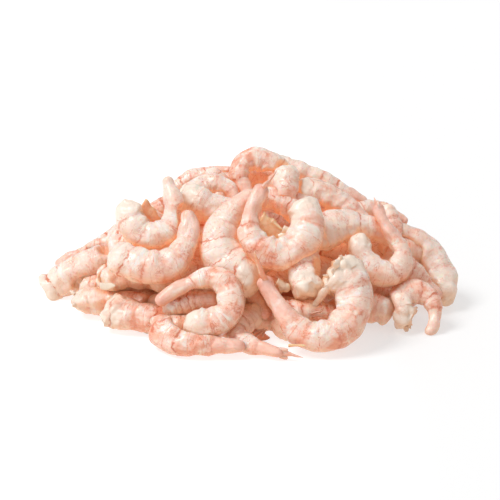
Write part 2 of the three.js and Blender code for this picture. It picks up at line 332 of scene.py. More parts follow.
def shrimp(at, face, back, bends, length, thickness, grain=FINE, blush=0.45, ragged=0.4, creased=1.0,
           head_girth=1.0, tail_girth=1.0, flare=0.0, flat_cut=0.42, tufts=0, needle=0.0, lip=0.0,
           pale=1.0, white_tip=0.0, tail_flush=1.0):
    """The skin, faces and marks of one shrimp, pressed against those already laid. at is the
    middle of its body line; face is where its curl faces, round and up; back is where its back
    points, clockwise as its curl is faced; bends are the turns of its thirds, head to tail, all
    in degrees"""
    rings, sides = grain
    seed = len(laid) + 1
    chance = np.random.RandomState(seed)
    centre, heading, side, turn = body_line(at, face, back, bends, length)

    # Rings crowd round the segment edges, and close each end in a blunt cap
    edges = np.array(SEGMENT_EDGES) + chance.uniform(-EDGE_DRIFT, EDGE_DRIFT, len(SEGMENT_EDGES))
    head_cap = flat_cut * thickness / length
    tail_cap = TAIL_CUT * thickness / length
    cap = 1 - np.cos(np.linspace(0, math.pi / 2, CAP_RINGS + 1)[1:])
    fine = np.linspace(head_cap, 1 - tail_cap, CROWD_STEPS)
    from_edges = (fine[:, None] - edges) * length / CROWD_REACH
    crowd = np.cumsum(1 + EDGE_CROWDING * np.exp(-(from_edges ** 2)).sum(axis=1))
    crowd = (crowd - crowd[0]) / (crowd[-1] - crowd[0])
    middle = np.interp(np.linspace(0, 1, rings - 2 * CAP_RINGS + 2)[1:-1], crowd, fine)
    share = np.concatenate([cap * head_cap, middle, 1 - cap[::-1] * tail_cap])[:, None]
    blunt = np.ones_like(share)
    blunt[:CAP_RINGS, 0] = (1 - (1 - cap) ** CAP_ROUNDNESS) ** (1 / CAP_ROUNDNESS)
    blunt[-CAP_RINGS:, 0] = blunt[:CAP_RINGS, 0][::-1]
    angle = np.linspace(0, math.tau, sides, endpoint=False)[None, :]
    belly = (1 - np.cos(angle)) / 2
    radius = girth(share, thickness, head_girth, tail_girth) * blunt
    flared = np.exp(-((share / 0.12) ** 2)) - 0.6 * np.exp(-(((share - 0.3) / 0.12) ** 2))
    radius = radius * (1 + flare * flared)
    walk = share * length
    own = np.stack(np.broadcast_arrays(radius * np.cos(angle), radius * np.sin(angle), walk), axis=-1)
    own = own + chance.uniform(-PATTERN_SPREAD, PATTERN_SPREAD, 3)

    # Segment edges: thin uneven creases, each its own strength, with the belly bulging between
    relief = np.zeros(own.shape[:2])
    seam = np.full(relief.shape, FAR_FROM_SEAM)
    seam_strength = np.zeros(relief.shape)
    strengths = creased * np.array([chance.choice(CREASE_STRENGTHS) for _ in edges])
    for place, strength, tip in zip(edges, strengths, chance.uniform(-0.8, 1.4, len(edges))):
        past = walk - place * length - tip * belly + 0.5 * waves(own, 4.0, seed + 40)
        crease = np.exp(-((past / (0.6 + 0.8 * belly ** 2)) ** 2))
        fold = np.exp(np.minimum(past, 0) / FOLD_REACH) * smooth_step(-past, -0.3, 0.3)
        depth = CREASE_DEPTH_BACK + CREASE_DEPTH_BELLY * belly ** 3
        relief += strength * (FOLD_HEIGHT * (1 - belly) * fold - crease * depth)
        nearer = np.abs(past) < np.abs(seam)
        seam = np.where(nearer, past, seam)
        seam_strength = np.where(nearer, strength, seam_strength)
    bounds = np.concatenate([[-0.02], edges, [1.05]])
    within = np.searchsorted(bounds, share[:, 0]).clip(1, len(bounds) - 1)
    part = (share[:, 0] - bounds[within - 1]) / (bounds[within] - bounds[within - 1])
    swell = np.sin(math.pi * part)[:, None] * (within < len(bounds) - 1)[:, None]
    relief += creased * swell * radius * (SWELL_BACK + SWELL_BELLY * belly ** 2)
    along_belly = smooth_step(share, 0.02, 0.1) * (1 - smooth_step(share, 0.66, 0.8))
    from_belly = angle - math.pi
    from_side = np.abs(from_belly) - SIDE_GROOVE_PLACE
    relief -= BELLY_GROOVE_DEPTH * radius * along_belly * np.exp(-((from_belly / BELLY_GROOVE_WIDTH) ** 2))
    relief -= SIDE_GROOVE_DEPTH * radius * along_belly * np.exp(-((from_side / SIDE_GROOVE_WIDTH) ** 2))
    lumps = COARSE_HEIGHT * waves(own, COARSE_LUMP, seed + 60)
    lumps = lumps + MIDDLING_HEIGHT * waves(own, MIDDLING_LUMP, seed + 80)
    relief += lumps
    relief += SMALL_HEIGHT * waves(own, SMALL_LUMP, seed + 120)
    past_rim = walk - LIP_LINE + 0.5 * waves(own, 4.0, seed + 320)
    relief += lip * (np.exp(-(((past_rim + 1.9) / 1.3) ** 2)) - 0.7 * np.exp(-((past_rim / 0.6) ** 2)))
    if lip:
        seam = np.where(np.abs(past_rim) < LIP_REACH, past_rim, seam)
        seam_strength = np.where(np.abs(past_rim) < LIP_REACH, 2.5 * lip, seam_strength)
    torn = 1 - smooth_step(walk, TORN_FULL * thickness, TORN_FROM * thickness)
    tears = TORN_HEIGHT * waves(own, TORN_LUMP, seed + 160)
    frays = FRAYED_HEIGHT * waves(own, FRAYED_LUMP, seed + 200)
    relief += ragged * torn * (tears + frays)

    # The inside of a curl never folds through itself
    inner = np.interp(share[:, 0], np.arange(BEND_STEPS + 1) / BEND_STEPS, np.abs(turn))[:, None]
    across = np.cos(angle)
    most = CURL_ROOM / np.maximum(inner * np.maximum(-across, 1e-3), 1e-3)
    height = radius + relief * blunt
    kept_in = -CURL_SOFTNESS * np.logaddexp(-height / CURL_SOFTNESS, -most / CURL_SOFTNESS)
    height = np.where(across < 0, kept_in, height)

    steps = share[:, 0] * BEND_STEPS
    stations = np.arange(BEND_STEPS + 1)
    line = np.stack([np.interp(steps, stations, centre[:, k]) for k in range(3)], axis=-1)
    ahead = np.stack([np.interp(steps, stations, heading[:, k]) for k in range(3)], axis=-1)
    ahead /= np.linalg.norm(ahead, axis=1)[:, None]
    outward = np.cross(ahead, side)
    line, ahead, outward = line[:, None], ahead[:, None], outward[:, None]
    skin = line + outward * (height * across)[..., None]
    skin = skin + side * (height * np.sin(angle) * BODY_WIDTH)[..., None]
    skin = skin + ahead * (ragged * torn * 0.7 * waves(own, 1.5, seed + 240))[..., None]
    skin = give_way(skin, np.broadcast_to(line, skin.shape))
    strided = np.arange(0, BEND_STEPS + 1, LINE_STRIDE) / BEND_STEPS
    laid.append((centre[::LINE_STRIDE],
                 girth(strided, thickness, head_girth, tail_girth) * PRESSED_GIRTH))

    def with_ends(values):
        first = values[0].mean(axis=0, keepdims=True)
        last = values[-1].mean(axis=0, keepdims=True)
        return np.concatenate([first, values.reshape(-1, *values.shape[2:]), last])

    full = np.ones(relief.shape)
    pale_head = pale * (1 - smooth_step(walk + 1.5 * waves(own, 3.0, seed + 280), *PALE_HEAD_REACH))
    to_tip = walk + 0.5 * waves(own, 1.2, seed + 300)
    pale_tip = white_tip * smooth_step(to_tip, *[length - reach for reach in PALE_TIP_REACH])
    reddening = smooth_step(share, *TAIL_STARTS) + smooth_step(share, *TAIL_REDDEST)
    marks = {
        "skin": own,
        "back": (1 - belly) * full,
        "head": np.maximum(pale_head, pale_tip),
        "tail": tail_flush * reddening * full,
        "seam": seam,
        "seam_strength": seam_strength,
        "blush": np.clip(blush + BLUSH_RISE * (share - BLUSH_EVEN_AT), 0, 1) * full,
    }
    marks = {label: with_ends(values) for label, values in marks.items()}
    bodies = [(with_ends(skin), tube_faces(rings, sides), marks)]

    # Torn bits round the cut ends, and the tail's pointed plate with a short lobe at each side
    for _ in range(tufts):
        ring = chance.randint(3, 6)
        turned = chance.uniform(0, math.tau)
        off = outward[ring, 0] * math.cos(turned) + side * math.sin(turned)
        start = line[ring, 0] + off * radius[ring, 0] * 0.85
        toward = off * chance.uniform(0.5, 0.9) - ahead[ring, 0] * 0.7 + chance.uniform(-0.3, 0.3, 3)
        bodies.append(sliver(start, toward, off + chance.uniform(-0.2, 0.2, 3),
                             chance.uniform(1.2, 2.2), chance.uniform(1.0, 2.0), flat=0.5,
                             curl=chance.uniform(-0.3, 0.3), blunt=0.7))
    if needle:
        end, onward, flat_way = line[-3, 0], ahead[-1, 0], outward[-1, 0]
        wide = 1.8 * radius[-CAP_RINGS, 0]
        bodies.append(sliver(end - onward, onward, flat_way, needle + 1, wide * 0.5, flat=0.5,
                             blunt=1.0, curl=0.03, head=0.0, tail=1.6, blush=1.0))
        for lobe in (-1, 1):
            start = end - onward * 0.9 + side * lobe * wide * 0.34
            bodies.append(sliver(start, onward + side * lobe * 0.15, flat_way, 0.15 * needle + 1.4,
                                 wide * 0.5, flat=0.6, curl=0.0, blunt=0.5, head=0.0, tail=1.4,
                                 blush=0.8))
    return joined(bodies)


def half_hidden(at, face, back, bends, length, thickness, pale=0.2, **looks):
    """A shrimp that shows only between others, so with fewer faces and little of its pale head"""
    return shrimp(at, face, back, bends, length, thickness, grain=PLAIN, pale=pale, **looks)


def put_down(name, bodies, finish):
    """One piece from several shrimp"""
    return put_mesh(name, *joined(bodies), finish)


COOKED = {
    "cream": paint(252, 230, 217),
    "pink": paint(242, 179, 152),
    "streak": paint(218, 122, 86),
    "seam_brown": paint(218, 124, 88),
    "cut": paint(250, 231, 213),
    "tail_pink": paint(246, 199, 180),
}
# White of the patches: partly the flesh's own white, partly a painted sheen
MILK_AND_SHEEN = paint(254, 243, 236)
TIP_PINK = paint(238, 160, 138)
# Painted shade: tints that multiply the flesh colour where little light reaches
PAINTED_SHADE_TINT = (0.93, 0.76, 0.63, 1.0)
PAINTED_DEEP_SHADE_TINT = (1.0, 0.91, 0.79, 1.0)
# Painted glow: an orange emission for flesh deep in the gaps, though flesh is no lamp
PAINTED_GLOW_STRENGTH = 0.28
PAINTED_GLOW_ORANGE = paint(246, 184, 134)
GRAIN_STRENGTH = 0.55
GRAIN_DEPTH = 0.0007
FLESH_IOR = 1.45
WET_COAT = 0.5
WET_ROUGHNESS = 0.2
SCATTER = 0.75
SCATTER_DEPTH = 0.0013
SCATTER_BY_COLOUR = (1.0, 0.55, 0.4)


def flesh_finish(name, cream, pink, streak, seam_brown, cut, tail_pink, milk_and_sheen_white=MILK_AND_SHEEN):
    """Cooked flesh: cream, with a mottled pink film over the back, white patches partly of painted
    sheen, thin red lines along the segment edges, a pale torn head end and a pink tail; painted
    shade tints it warm orange where little light reaches, and a painted orange glow fills deep gaps"""
    finish = bpy.data.materials.new(name)
    finish.use_nodes = True
    nodes, links = finish.node_tree.nodes, finish.node_tree.links
    surface = nodes["Principled BSDF"]

    def mark(label):
        node = nodes.new("ShaderNodeAttribute")
        node.attribute_name = label
        return node.outputs["Vector" if label == "skin" else "Fac"]

    def put_in(value, socket):
        if isinstance(value, bpy.types.NodeSocket):
            links.new(value, socket)
        else:
            socket.default_value = value

    def reckon(operation, first, second=0.0):
        node = nodes.new("ShaderNodeMath")
        node.operation = operation
        put_in(first, node.inputs[0])
        put_in(second, node.inputs[1])
        return node.outputs[0]

    def product(*values):
        result = values[0]
        for value in values[1:]:
            result = reckon("MULTIPLY", result, value)
        return result

    def between(value, low, high, least=0.0, most=1.0):
        node = nodes.new("ShaderNodeMapRange")
        node.interpolation_type = "SMOOTHSTEP"
        put_in(value, node.inputs["Value"])
        for label, number in (("From Min", low), ("From Max", high), ("To Min", least), ("To Max", most)):
            node.inputs[label].default_value = number
        return node.outputs["Result"]

    def stretched(x, y, z):
        node = nodes.new("ShaderNodeVectorMath")
        node.operation = "MULTIPLY"
        links.new(mark("skin"), node.inputs[0])
        node.inputs[1].default_value = (x, y, z)
        return node.outputs[0]

    def noise(vector, scale, detail, roughness=0.5, distortion=0.0):
        node = nodes.new("ShaderNodeTexNoise")
        put_in(vector, node.inputs["Vector"])
        for label, number in (("Scale", scale), ("Detail", detail), ("Roughness", roughness),
                              ("Distortion", distortion)):
            node.inputs[label].default_value = number
        return node.outputs["Fac"]

    def lines(value, width):
        """A thin line wherever the noise crosses its middle"""
        return between(reckon("ABSOLUTE", reckon("SUBTRACT", value, 0.5)), 0.0, width, 1.0, 0.0)

    def mixed(factor, under, over, blend="MIX"):
        node = nodes.new("ShaderNodeMix")
        node.data_type = "RGBA"
        node.blend_type = blend
        put_in(factor, node.inputs["Factor"])
        put_in(under, node.inputs["A"])
        put_in(over, node.inputs["B"])
        return node.outputs["Result"]

    plain, back = mark("skin"), mark("back")
    across_body = stretched(0.45, 0.45, 1.0)
    fibres = stretched(1.0, 1.0, 0.25)
    over_back = between(back, 0.0, 0.7, 0.4, 1.0)
    film = between(noise(plain, 0.14, 3.0, 0.5, 0.4), 0.34, 0.66)
    mottle = between(noise(plain, 0.42, 3.0, 0.5, 0.5), 0.36, 0.66, 0.4, 1.35)
    stringy = between(noise(fibres, 1.1, 3.0, 0.55, 0.6), 0.36, 0.64, 0.82, 1.16)
    wavering = reckon("ADD", mark("seam"),
                      product(reckon("SUBTRACT", noise(plain, 0.7, 3.0), 0.5), 2.0))
    near_seam = between(reckon("ABSOLUTE", wavering), 0.2, 2.2, 1.0, 0.0)
    blush = product(reckon("ADD", reckon("ADD", 0.14, product(film, 0.56)), product(near_seam, 0.5)),
                    over_back, mottle, stringy, mark("blush"), 1.5)
    colour = mixed(reckon("MINIMUM", blush, 1.0), cream, pink)
    # White patches across the body: partly the flesh's own white, partly a painted sheen
    milk_and_sheen = between(noise(across_body, 0.36, 4.0, 0.6, 0.5), 0.50, 0.66)
    colour = mixed(product(milk_and_sheen, between(near_seam, 0.0, 1.0, 1.0, 0.3), 0.9), colour, milk_and_sheen_white)
    strokes = product(lines(noise(across_body, 0.6, 4.0, 0.6, 1.2), 0.028),
                      between(noise(plain, 0.3, 2.0), 0.43, 0.55),
                      between(near_seam, 0.0, 0.8, 0.4, 1.0))
    colour = mixed(product(strokes, over_back, 0.9), colour, streak)
    colour = mixed(product(mark("head"), 0.8), colour, cut)
    seam_line = product(between(reckon("ABSOLUTE", wavering), 0.0, 0.5, 1.0, 0.0),
                        between(noise(plain, 0.5, 3.0, 0.6), 0.38, 0.52))
    colour = mixed(product(seam_line, mark("seam_strength"), over_back), colour, seam_brown)
    tail = product(reckon("MINIMUM", mark("tail"), 1.0),
                   between(noise(fibres, 0.55, 3.0, 0.5), 0.32, 0.66, 0.2, 1.0))
    colour = mixed(tail, colour, tail_pink)
    colour = mixed(between(mark("tail"), 1.0, 2.0, 0.0, 0.5), colour, TIP_PINK)
    # Painted shade: the colour is tinted warm orange where the shade share is high, more so deep in the
    # gaps
    colour = mixed(between(mark("shade_share"), 0.30, 0.78), colour, PAINTED_SHADE_TINT, "MULTIPLY")
    colour = mixed(between(mark("shade_share"), 0.65, 1.0), colour, PAINTED_DEEP_SHADE_TINT, "MULTIPLY")
    links.new(colour, surface.inputs["Base Color"])
    # Painted glow: an orange emission on flesh deep in the gaps high in the heap
    surface.inputs["Emission Color"].default_value = PAINTED_GLOW_ORANGE
    links.new(product(mark("painted_glow"), PAINTED_GLOW_STRENGTH), surface.inputs["Emission Strength"])

    grain = reckon("ADD", noise(fibres, 1.1, 5.0, 0.7), product(noise(plain, 0.6, 5.0, 0.65), 1.6))
    bump = nodes.new("ShaderNodeBump")
    bump.inputs["Strength"].default_value = GRAIN_STRENGTH
    bump.inputs["Distance"].default_value = GRAIN_DEPTH
    links.new(grain, bump.inputs["Height"])
    links.new(bump.outputs["Normal"], surface.inputs["Normal"])
    links.new(between(noise(plain, 0.5, 2.0), 0.3, 0.7, 0.24, 0.42), surface.inputs["Roughness"])
    surface.inputs["IOR"].default_value = FLESH_IOR
    surface.inputs["Coat Weight"].default_value = WET_COAT
    surface.inputs["Coat Roughness"].default_value = WET_ROUGHNESS
    thin_shell = reckon("SUBTRACT", mark("tail"), 1.0)
    links.new(between(reckon("MAXIMUM", mark("head"), thin_shell), 0.0, 0.9, SCATTER, 0.0),
              surface.inputs["Subsurface Weight"])
    surface.inputs["Subsurface Radius"].default_value = SCATTER_BY_COLOUR
    surface.inputs["Subsurface Scale"].default_value = SCATTER_DEPTH
    return finish


INSIDE_RINGS = [
    # height, half width, half depth, pieces
    (4.5, 35, 28, 10),
    (11, 29, 23, 9),
    (17.5, 22, 17, 7),
    (24, 12.5, 10, 4),
    (28, 3, 3, 2),
]
INSIDE_SEED = 5
INSIDE_THICKNESS = 8.0
INSIDE_LENGTH = 34.0
INSIDE_MIDDLE_Y = 3.0

inside_chance = np.random.RandomState(INSIDE_SEED)
inside = []
for height, half_width, half_depth, pieces in INSIDE_RINGS:
    for i in range(pieces):
        turn = math.tau * (i + inside_chance.uniform(-0.2, 0.2)) / pieces
        at = [half_width * math.cos(turn), INSIDE_MIDDLE_Y + half_depth * math.sin(turn), height]
        curl = inside_chance.uniform(40, 120) * inside_chance.choice([-1, 1])
        face = [math.degrees(turn) + 90 + inside_chance.uniform(-15, 15), inside_chance.uniform(40, 60)]
        bends = [curl * 0.25, curl * 0.5, curl * 0.25]
        inside.append(shrimp(at, face, inside_chance.uniform(-40, 40), bends, INSIDE_LENGTH,
                             INSIDE_THICKNESS, grain=ROUGH))
inside_flesh = flesh_finish("inside_flesh", **COOKED)
inside_shrimp = put_down("shrimp_inside", inside, inside_flesh)
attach(inside_shrimp, "root")
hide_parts("shrimp_heap")

# Deeper shrimp that show in part between the outer ones: the same peeled tails, lying close
# on the ones inside and wedged by those over them.
deeper = [
    half_hidden([-12.5, -14, 20.5], [0, 40], 280, [20, 20, 10], 34, 8),
    half_hidden([-13.5, -23.5, 15], [0, 50], 0, [20, 20, 10], 28, 8),
    half_hidden([-15.5, -24, 6.5], [0, 60], 0, [20, 20, 10], 24, 8),
    half_hidden([-24, -14, 8], [0, 50], 10, [20, 20, 10], 36, 8),
    half_hidden([23.5, -9, 14.6], [0, 50], 20, [20, 20, 10], 30, 8.4),
    half_hidden([6, -31, 4.5], [0, 60], 10, [20, 20, 10], 28, 8, blush=0.7, creased=0.4, pale=0.1),
    half_hidden([28.5, 4, 23.5], [10, 50], 28, [10, 10, 10], 28, 7),
    half_hidden([2, 5, 31], [0, 40], 0, [20, 20, 10], 32, 8),
    half_hidden([33.5, -8, 15], [20, 45], 60, [20, 20, 10], 24, 7.6),
    half_hidden([32, -18.5, 7.5], [20, 50], 20, [20, 20, 10], 24, 7.6),
    half_hidden([-5.5, -2, 29.3], [0, 40], 60, [20, 20, 10], 19, 6),
    half_hidden([17.4, -32.6, 4.6], [5, 60], 0, [10, 20, 15], 24, 8, blush=0.7, creased=0.4, pale=0.1),
    half_hidden([41, -14, 4.5], [40, 65], 0, [10, 30, 20], 24, 7.6),
    half_hidden([17.5, -36.6, 8.4], [5, 45], 5, [8, 12, 8], 20, 6.4),
    half_hidden([-24.5, -16, 19.3], [-10, 50], 10, [15, 30, 15], 28, 8.2),
    half_hidden([-25, -4.5, 18.6], [-15, 45], 0, [15, 30, 15], 30, 8),
    half_hidden([-27, -20.5, 12.5], [-5, 50], 5, [10, 20, 10], 26, 8),
    half_hidden([-34, -10, 5], [-30, 65], 0, [10, 30, 20], 22, 7.4),
    half_hidden([-38.5, -11, 5.2], [-30, 60], 0, [10, 20, 10], 18, 6.6, blush=0.8, pale=0.1),
    half_hidden([-13, -38.6, 5.4], [0, 60], 4, [5, 10, 5], 24, 6, blush=0.6, tail_girth=1.6),
    half_hidden([-15.5, -34.3, 10.2], [0, 45], 350, [5, 10, 5], 15, 6.6, blush=0.6, tail_girth=1.4),
]
deeper_flesh = flesh_finish("deeper_flesh", **COOKED)
deeper_shrimp = put_down("shrimp_deeper", deeper, deeper_flesh)
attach(deeper_shrimp, "root")
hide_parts("shrimp_heap")

# The far side of the heap, out of sight from the front: the same shrimp, laid by rule in rings
# from the table up, from the right end (0 degrees) round the back to the left end.
FAR_RINGS = [
    # height, half width, half depth, pieces, first and last degrees round, tilt
    (4.8, 45, 37, 7, 6, 174, 64),
    (12.5, 38, 29, 6, 14, 158, 46),
    (20.5, 28, 19.5, 4, 26, 140, 44),
    (28.5, 13.5, 10, 3, 30, 142, 54),
]
FAR_CENTRE_Y = 5.0
FAR_SEED = 11
DRAW_TIMES = 1664525
DRAW_PLUS = 1013904223
DRAW_RANGE = 2 ** 32
CLOCKWISE_SHARE = 0.6
LYING_ON_TABLE = 10.0

far_drawn = FAR_SEED


def draw(low, high):
    """The next draw of the far side's own plain random rule"""
    global far_drawn
    far_drawn = (far_drawn * DRAW_TIMES + DRAW_PLUS) % DRAW_RANGE
    return low + (high - low) * far_drawn / DRAW_RANGE


far_side = []
for height, half_width, depth, pieces, first, last, tilt in FAR_RINGS:
    for i in range(pieces):
        turn = first + (last - first) * (i + draw(-0.12, 0.12)) / (pieces - 1)
        x = half_width * math.cos(math.radians(turn))
        y = FAR_CENTRE_Y + depth * math.sin(math.radians(turn))
        z = height + draw(-0.5, 0.8)
        curl = draw(60, 165) * (1 if draw(0, 1) < CLOCKWISE_SHARE else -1)
        back = draw(-22, 22) + (180 if height < LYING_ON_TABLE else 0)
        length = draw(29, 35) + abs(curl) * 0.04
        face = [turn + 90 + draw(-8, 8), tilt + draw(-6, 6)]
        bends = [curl * 0.25, curl * 0.55, curl * 0.2]
        far_side.append(shrimp([x, y, z], face, back, bends, length, draw(7.2, 8.8), grain=PLAIN))
far_flesh = flesh_finish("far_side_flesh", **COOKED)
far_shrimp = put_down("shrimp_far_side", far_side, far_flesh)
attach(far_shrimp, "root")
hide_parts("shrimp_heap")

# The front row: the largest tails, peeled and cooked, lying on the table along the front.
# The big curl at the right and the ring at the middle lie over the rest.
front_row = [
    half_hidden([-34.8, -18, 10], [0, 40], 25, [15, 10, 5], 14, 5.2),
    shrimp([-42.5, 9, 10.0], [-20, 30], 340, [-20, -15, -5], 29, 6.2, grain=PLAIN, blush=0.6,
           white_tip=1.0),
    shrimp([-32.4, -20.2, 5.2], [-14, 75], 0, [10, 15, 10], 32, 10.0, blush=0.9, ragged=0.5,
           head_girth=0.6, tufts=4, pale=0.5),
    shrimp([-42.0, -3.6, 10.1], [-25, 30], 330, [8, 12, 14], 35, 9.8, blush=0.3, creased=0.4,
           tail_girth=1.3, flat_cut=0.08, lip=0.6),
    shrimp([-23.6, -30.6, 4.4], [0, 85], 182, [-8, -30, -50], 31, 9.8, blush=0.85, ragged=0.8, flare=0.15,
           lip=0.3, pale=1.4),
    shrimp([-3.0, -41.2, 3.5], [0, 78], 249, [-60, -77, -12], 28.6, 7.2, blush=0.4, needle=5.4),
    shrimp([-6.5, -36, 15.7], [-6, 40], 44.6, [-104, -123, -28], 40.6, 8.0, blush=0.7, ragged=0.4,
           tail_girth=0.85),
    shrimp([-16.9, -44.9, 3.7], [0, 78], 204.6, [-132, -39, 0], 32, 8.7, blush=0.85, tail_girth=0.95,
           white_tip=1.0),
    shrimp([19.6, -44, 4.8], [5, 40], 173.5, [86, 103, 30], 49, 10.4, blush=0.7, ragged=1.0, flare=0.2,
           head_girth=1.12, pale=1.5, tail_girth=0.88, flat_cut=0.3, tufts=9, tail_flush=1.4),
]
front_flesh = flesh_finish("front_row_flesh", **COOKED)
front_shrimp = put_down("shrimp_front_row", front_row, front_flesh)
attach(front_shrimp, "root")
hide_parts("shrimp_heap")

# The middle of the front: a pale thick tail, and over it the upright curl whose cut head end
# stands at the top, beside a stump seen end on with a thin strip of its flesh hanging from the
# cut. Cooked flesh as the rest, wedged upright between its neighbours.
middle = [
    half_hidden([-1.5, -26.5, 12.5], [0, 50], 50, [10, 15, 10], 24, 6.4),
    half_hidden([8.5, -27, 16], [0, 40], 310, [20, 20, 10], 16, 6.4),
    shrimp([-7.5, -23, 24.5], [-5, 40], 272, [45, 60, 50], 36, 11.8, blush=0.12),
    shrimp([14.5, -27, 19.5], [70, 35], 334, [20, 30, 20], 24, 10.2, blush=0.3, ragged=0.6, flat_cut=0.26,
           lip=0.2),
    shrimp([5.2, -31, 22.9], [2, 36], 198.7, [76, 118, 51], 43, 9.4, blush=0.7, ragged=0.2, flat_cut=0.26,
           tail_girth=1.05, needle=6.0),
]
strip = sliver([20.4, -37.5, 16.6], [-4.2, 0.2, -6.6], [0.3, -0.94, 0.2], 9.6, 2.5, flat=0.4, curl=0.1,
               blunt=0.35, head=0.6)
middle_flesh = flesh_finish("middle_flesh", **COOKED)
middle_shrimp = put_down("shrimp_middle", middle + [strip], middle_flesh)
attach(middle_shrimp, "root")
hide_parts("shrimp_heap")

# The left shoulder: two long curls one on the other, with shorter ones behind them that
# climb to the top. Cooked flesh as the rest.
left_shoulder = [
    half_hidden([-15, 7, 31.5], [-25, 45], 325, [20, 25, 15], 21, 5.6),
    half_hidden([-25, -2, 25.3], [-20, 45], 320, [20, 20, 10], 20, 6.4),
    half_hidden([-24, -12.5, 24], [-10, 35], 20, [20, 20, 10], 16, 7.2),
    shrimp([-10.9, -4, 33.2], [-10, 35], 352, [30, 80, 70], 28, 7.0, blush=0.12, ragged=0.6, creased=0.6,
           tail_flush=0.5),
    shrimp([-6.5, -13.5, 28.6], [-5, 35], 190, [-12, -12, -12], 27, 8.6, blush=0.15, ragged=0.7),
    shrimp([-21.3, -29, 19.1], [-10, 38], 149, [-20, -76, -48], 33.6, 9.4, blush=0.42, tail_girth=1.15,
           pale=0.3, tail_flush=0.7),
    shrimp([-22.9, -22, 25.4], [-12, 32], 140.7, [-82, -113, -22], 32.8, 8.8, blush=0.2, ragged=0.4,
           creased=0.6, flat_cut=0.14, head_girth=0.78, tail_girth=0.84, white_tip=0.6, tail_flush=0.3),
]
left_flesh = flesh_finish("left_shoulder_flesh", **COOKED)
left_shrimp = put_down("shrimp_left_shoulder", left_shoulder, left_flesh)
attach(left_shrimp, "root")
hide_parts("shrimp_heap")

# The right shoulder: smaller tails that slope down to the table, with a small curl lying
# loose in front of them. Cooked flesh as the rest.
right_shoulder = [
    half_hidden([39.5, -6, 19.8], [20, 45], 100, [20, 20, 10], 17, 5.2),
    half_hidden([36, 1.5, 23.2], [20, 45], 20, [20, 20, 10], 17, 6),
    half_hidden([43.5, -6, 14.5], [20, 45], 20, [15, 15, 10], 20, 8.2),
    half_hidden([44.5, -13, 10], [20, 45], 45, [20, 20, 10], 20, 8),
    half_hidden([27, -26.5, 6], [10, 60], 0, [-15, -20, -20], 23, 8, blush=0.9, pale=0.1),
    shrimp([24, -5, 29], [10, 45], 35, [20, 20, 10], 24, 7.6),
    shrimp([26.5, -14, 24.5], [20, 45], 5, [20, 30, 30], 31, 10, blush=0.18, ragged=0.7),
    shrimp([49.2, -5, 13.4], [30, 40], 68, [-40, -45, -15], 31, 9.4, blush=0.2, ragged=0.8, creased=0.5,
           tail_girth=1.2, tail_flush=0.5),
    shrimp([40, -22, 15.7], [12, 36], 133, [-87, -146, 17], 38, 8.0, blush=0.4, ragged=0.5, creased=0.5,
           head_girth=0.7, tail_girth=0.78, needle=2.5),
    shrimp([46.4, -24.8, 8.8], [0, 38], 25, [128, 100, 50], 26, 7.4, blush=0.5, ragged=0.8, flat_cut=0.2,
           tufts=4, head_girth=1.15, tail_girth=0.9, white_tip=0.8, tail_flush=0.5),
]
right_flesh = flesh_finish("right_shoulder_flesh", **COOKED)
right_shrimp = put_down("shrimp_right_shoulder", right_shoulder, right_flesh)
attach(right_shrimp, "root")
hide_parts("shrimp_heap")

# The top of the heap: the thin curl at the peak and the long straight tail that slopes away
# from it to the right, over short ones. Cooked flesh as the rest.
top = [
    half_hidden([8, -8, 30.5], [0, 45], 0, [20, 20, 10], 22, 6.6),
    half_hidden([5.5, -18, 26], [0, 45], 20, [20, 20, 10], 20, 8),
    half_hidden([13.5, -3, 31], [5, 40], 35, [10, 15, 10], 18, 7),
    shrimp([9, -13, 29.2], [0, 45], 10, [10, 10, 10], 18, 7, grain=PLAIN, tail_girth=1.5),
    shrimp([9.6, -8, 31.2], [0, 35], 98, [8, 8, 8], 17, 7.2, blush=0.35, ragged=0.2, creased=0.2,
           tail_girth=1.9, pale=0.4),
    shrimp([21.0, 4, 30.5], [10, 45], 31.5, [5, 5, 2], 32, 7.0, blush=0.25),
    shrimp([-0.8, 1, 38.3], [0, 35], 324, [-22, -122, -20], 28, 6.0, blush=0.6, tail_girth=1.8),
]
top_flesh = flesh_finish("top_flesh", **COOKED)
top_shrimp = put_down("shrimp_top", top, top_flesh)
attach(top_shrimp, "root")
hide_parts("shrimp_heap")

# Flakes: a leaf of thin shell and crumbs of flesh in the opening of the upright curl, a shell
# flap inside the left curl, bits at the left and in the middle, and a thin spine at the front.
# Each is a torn sliver left from peeling, stuck on by its own wet.
FACING_FRONT = [0.0, -0.94, 0.34]

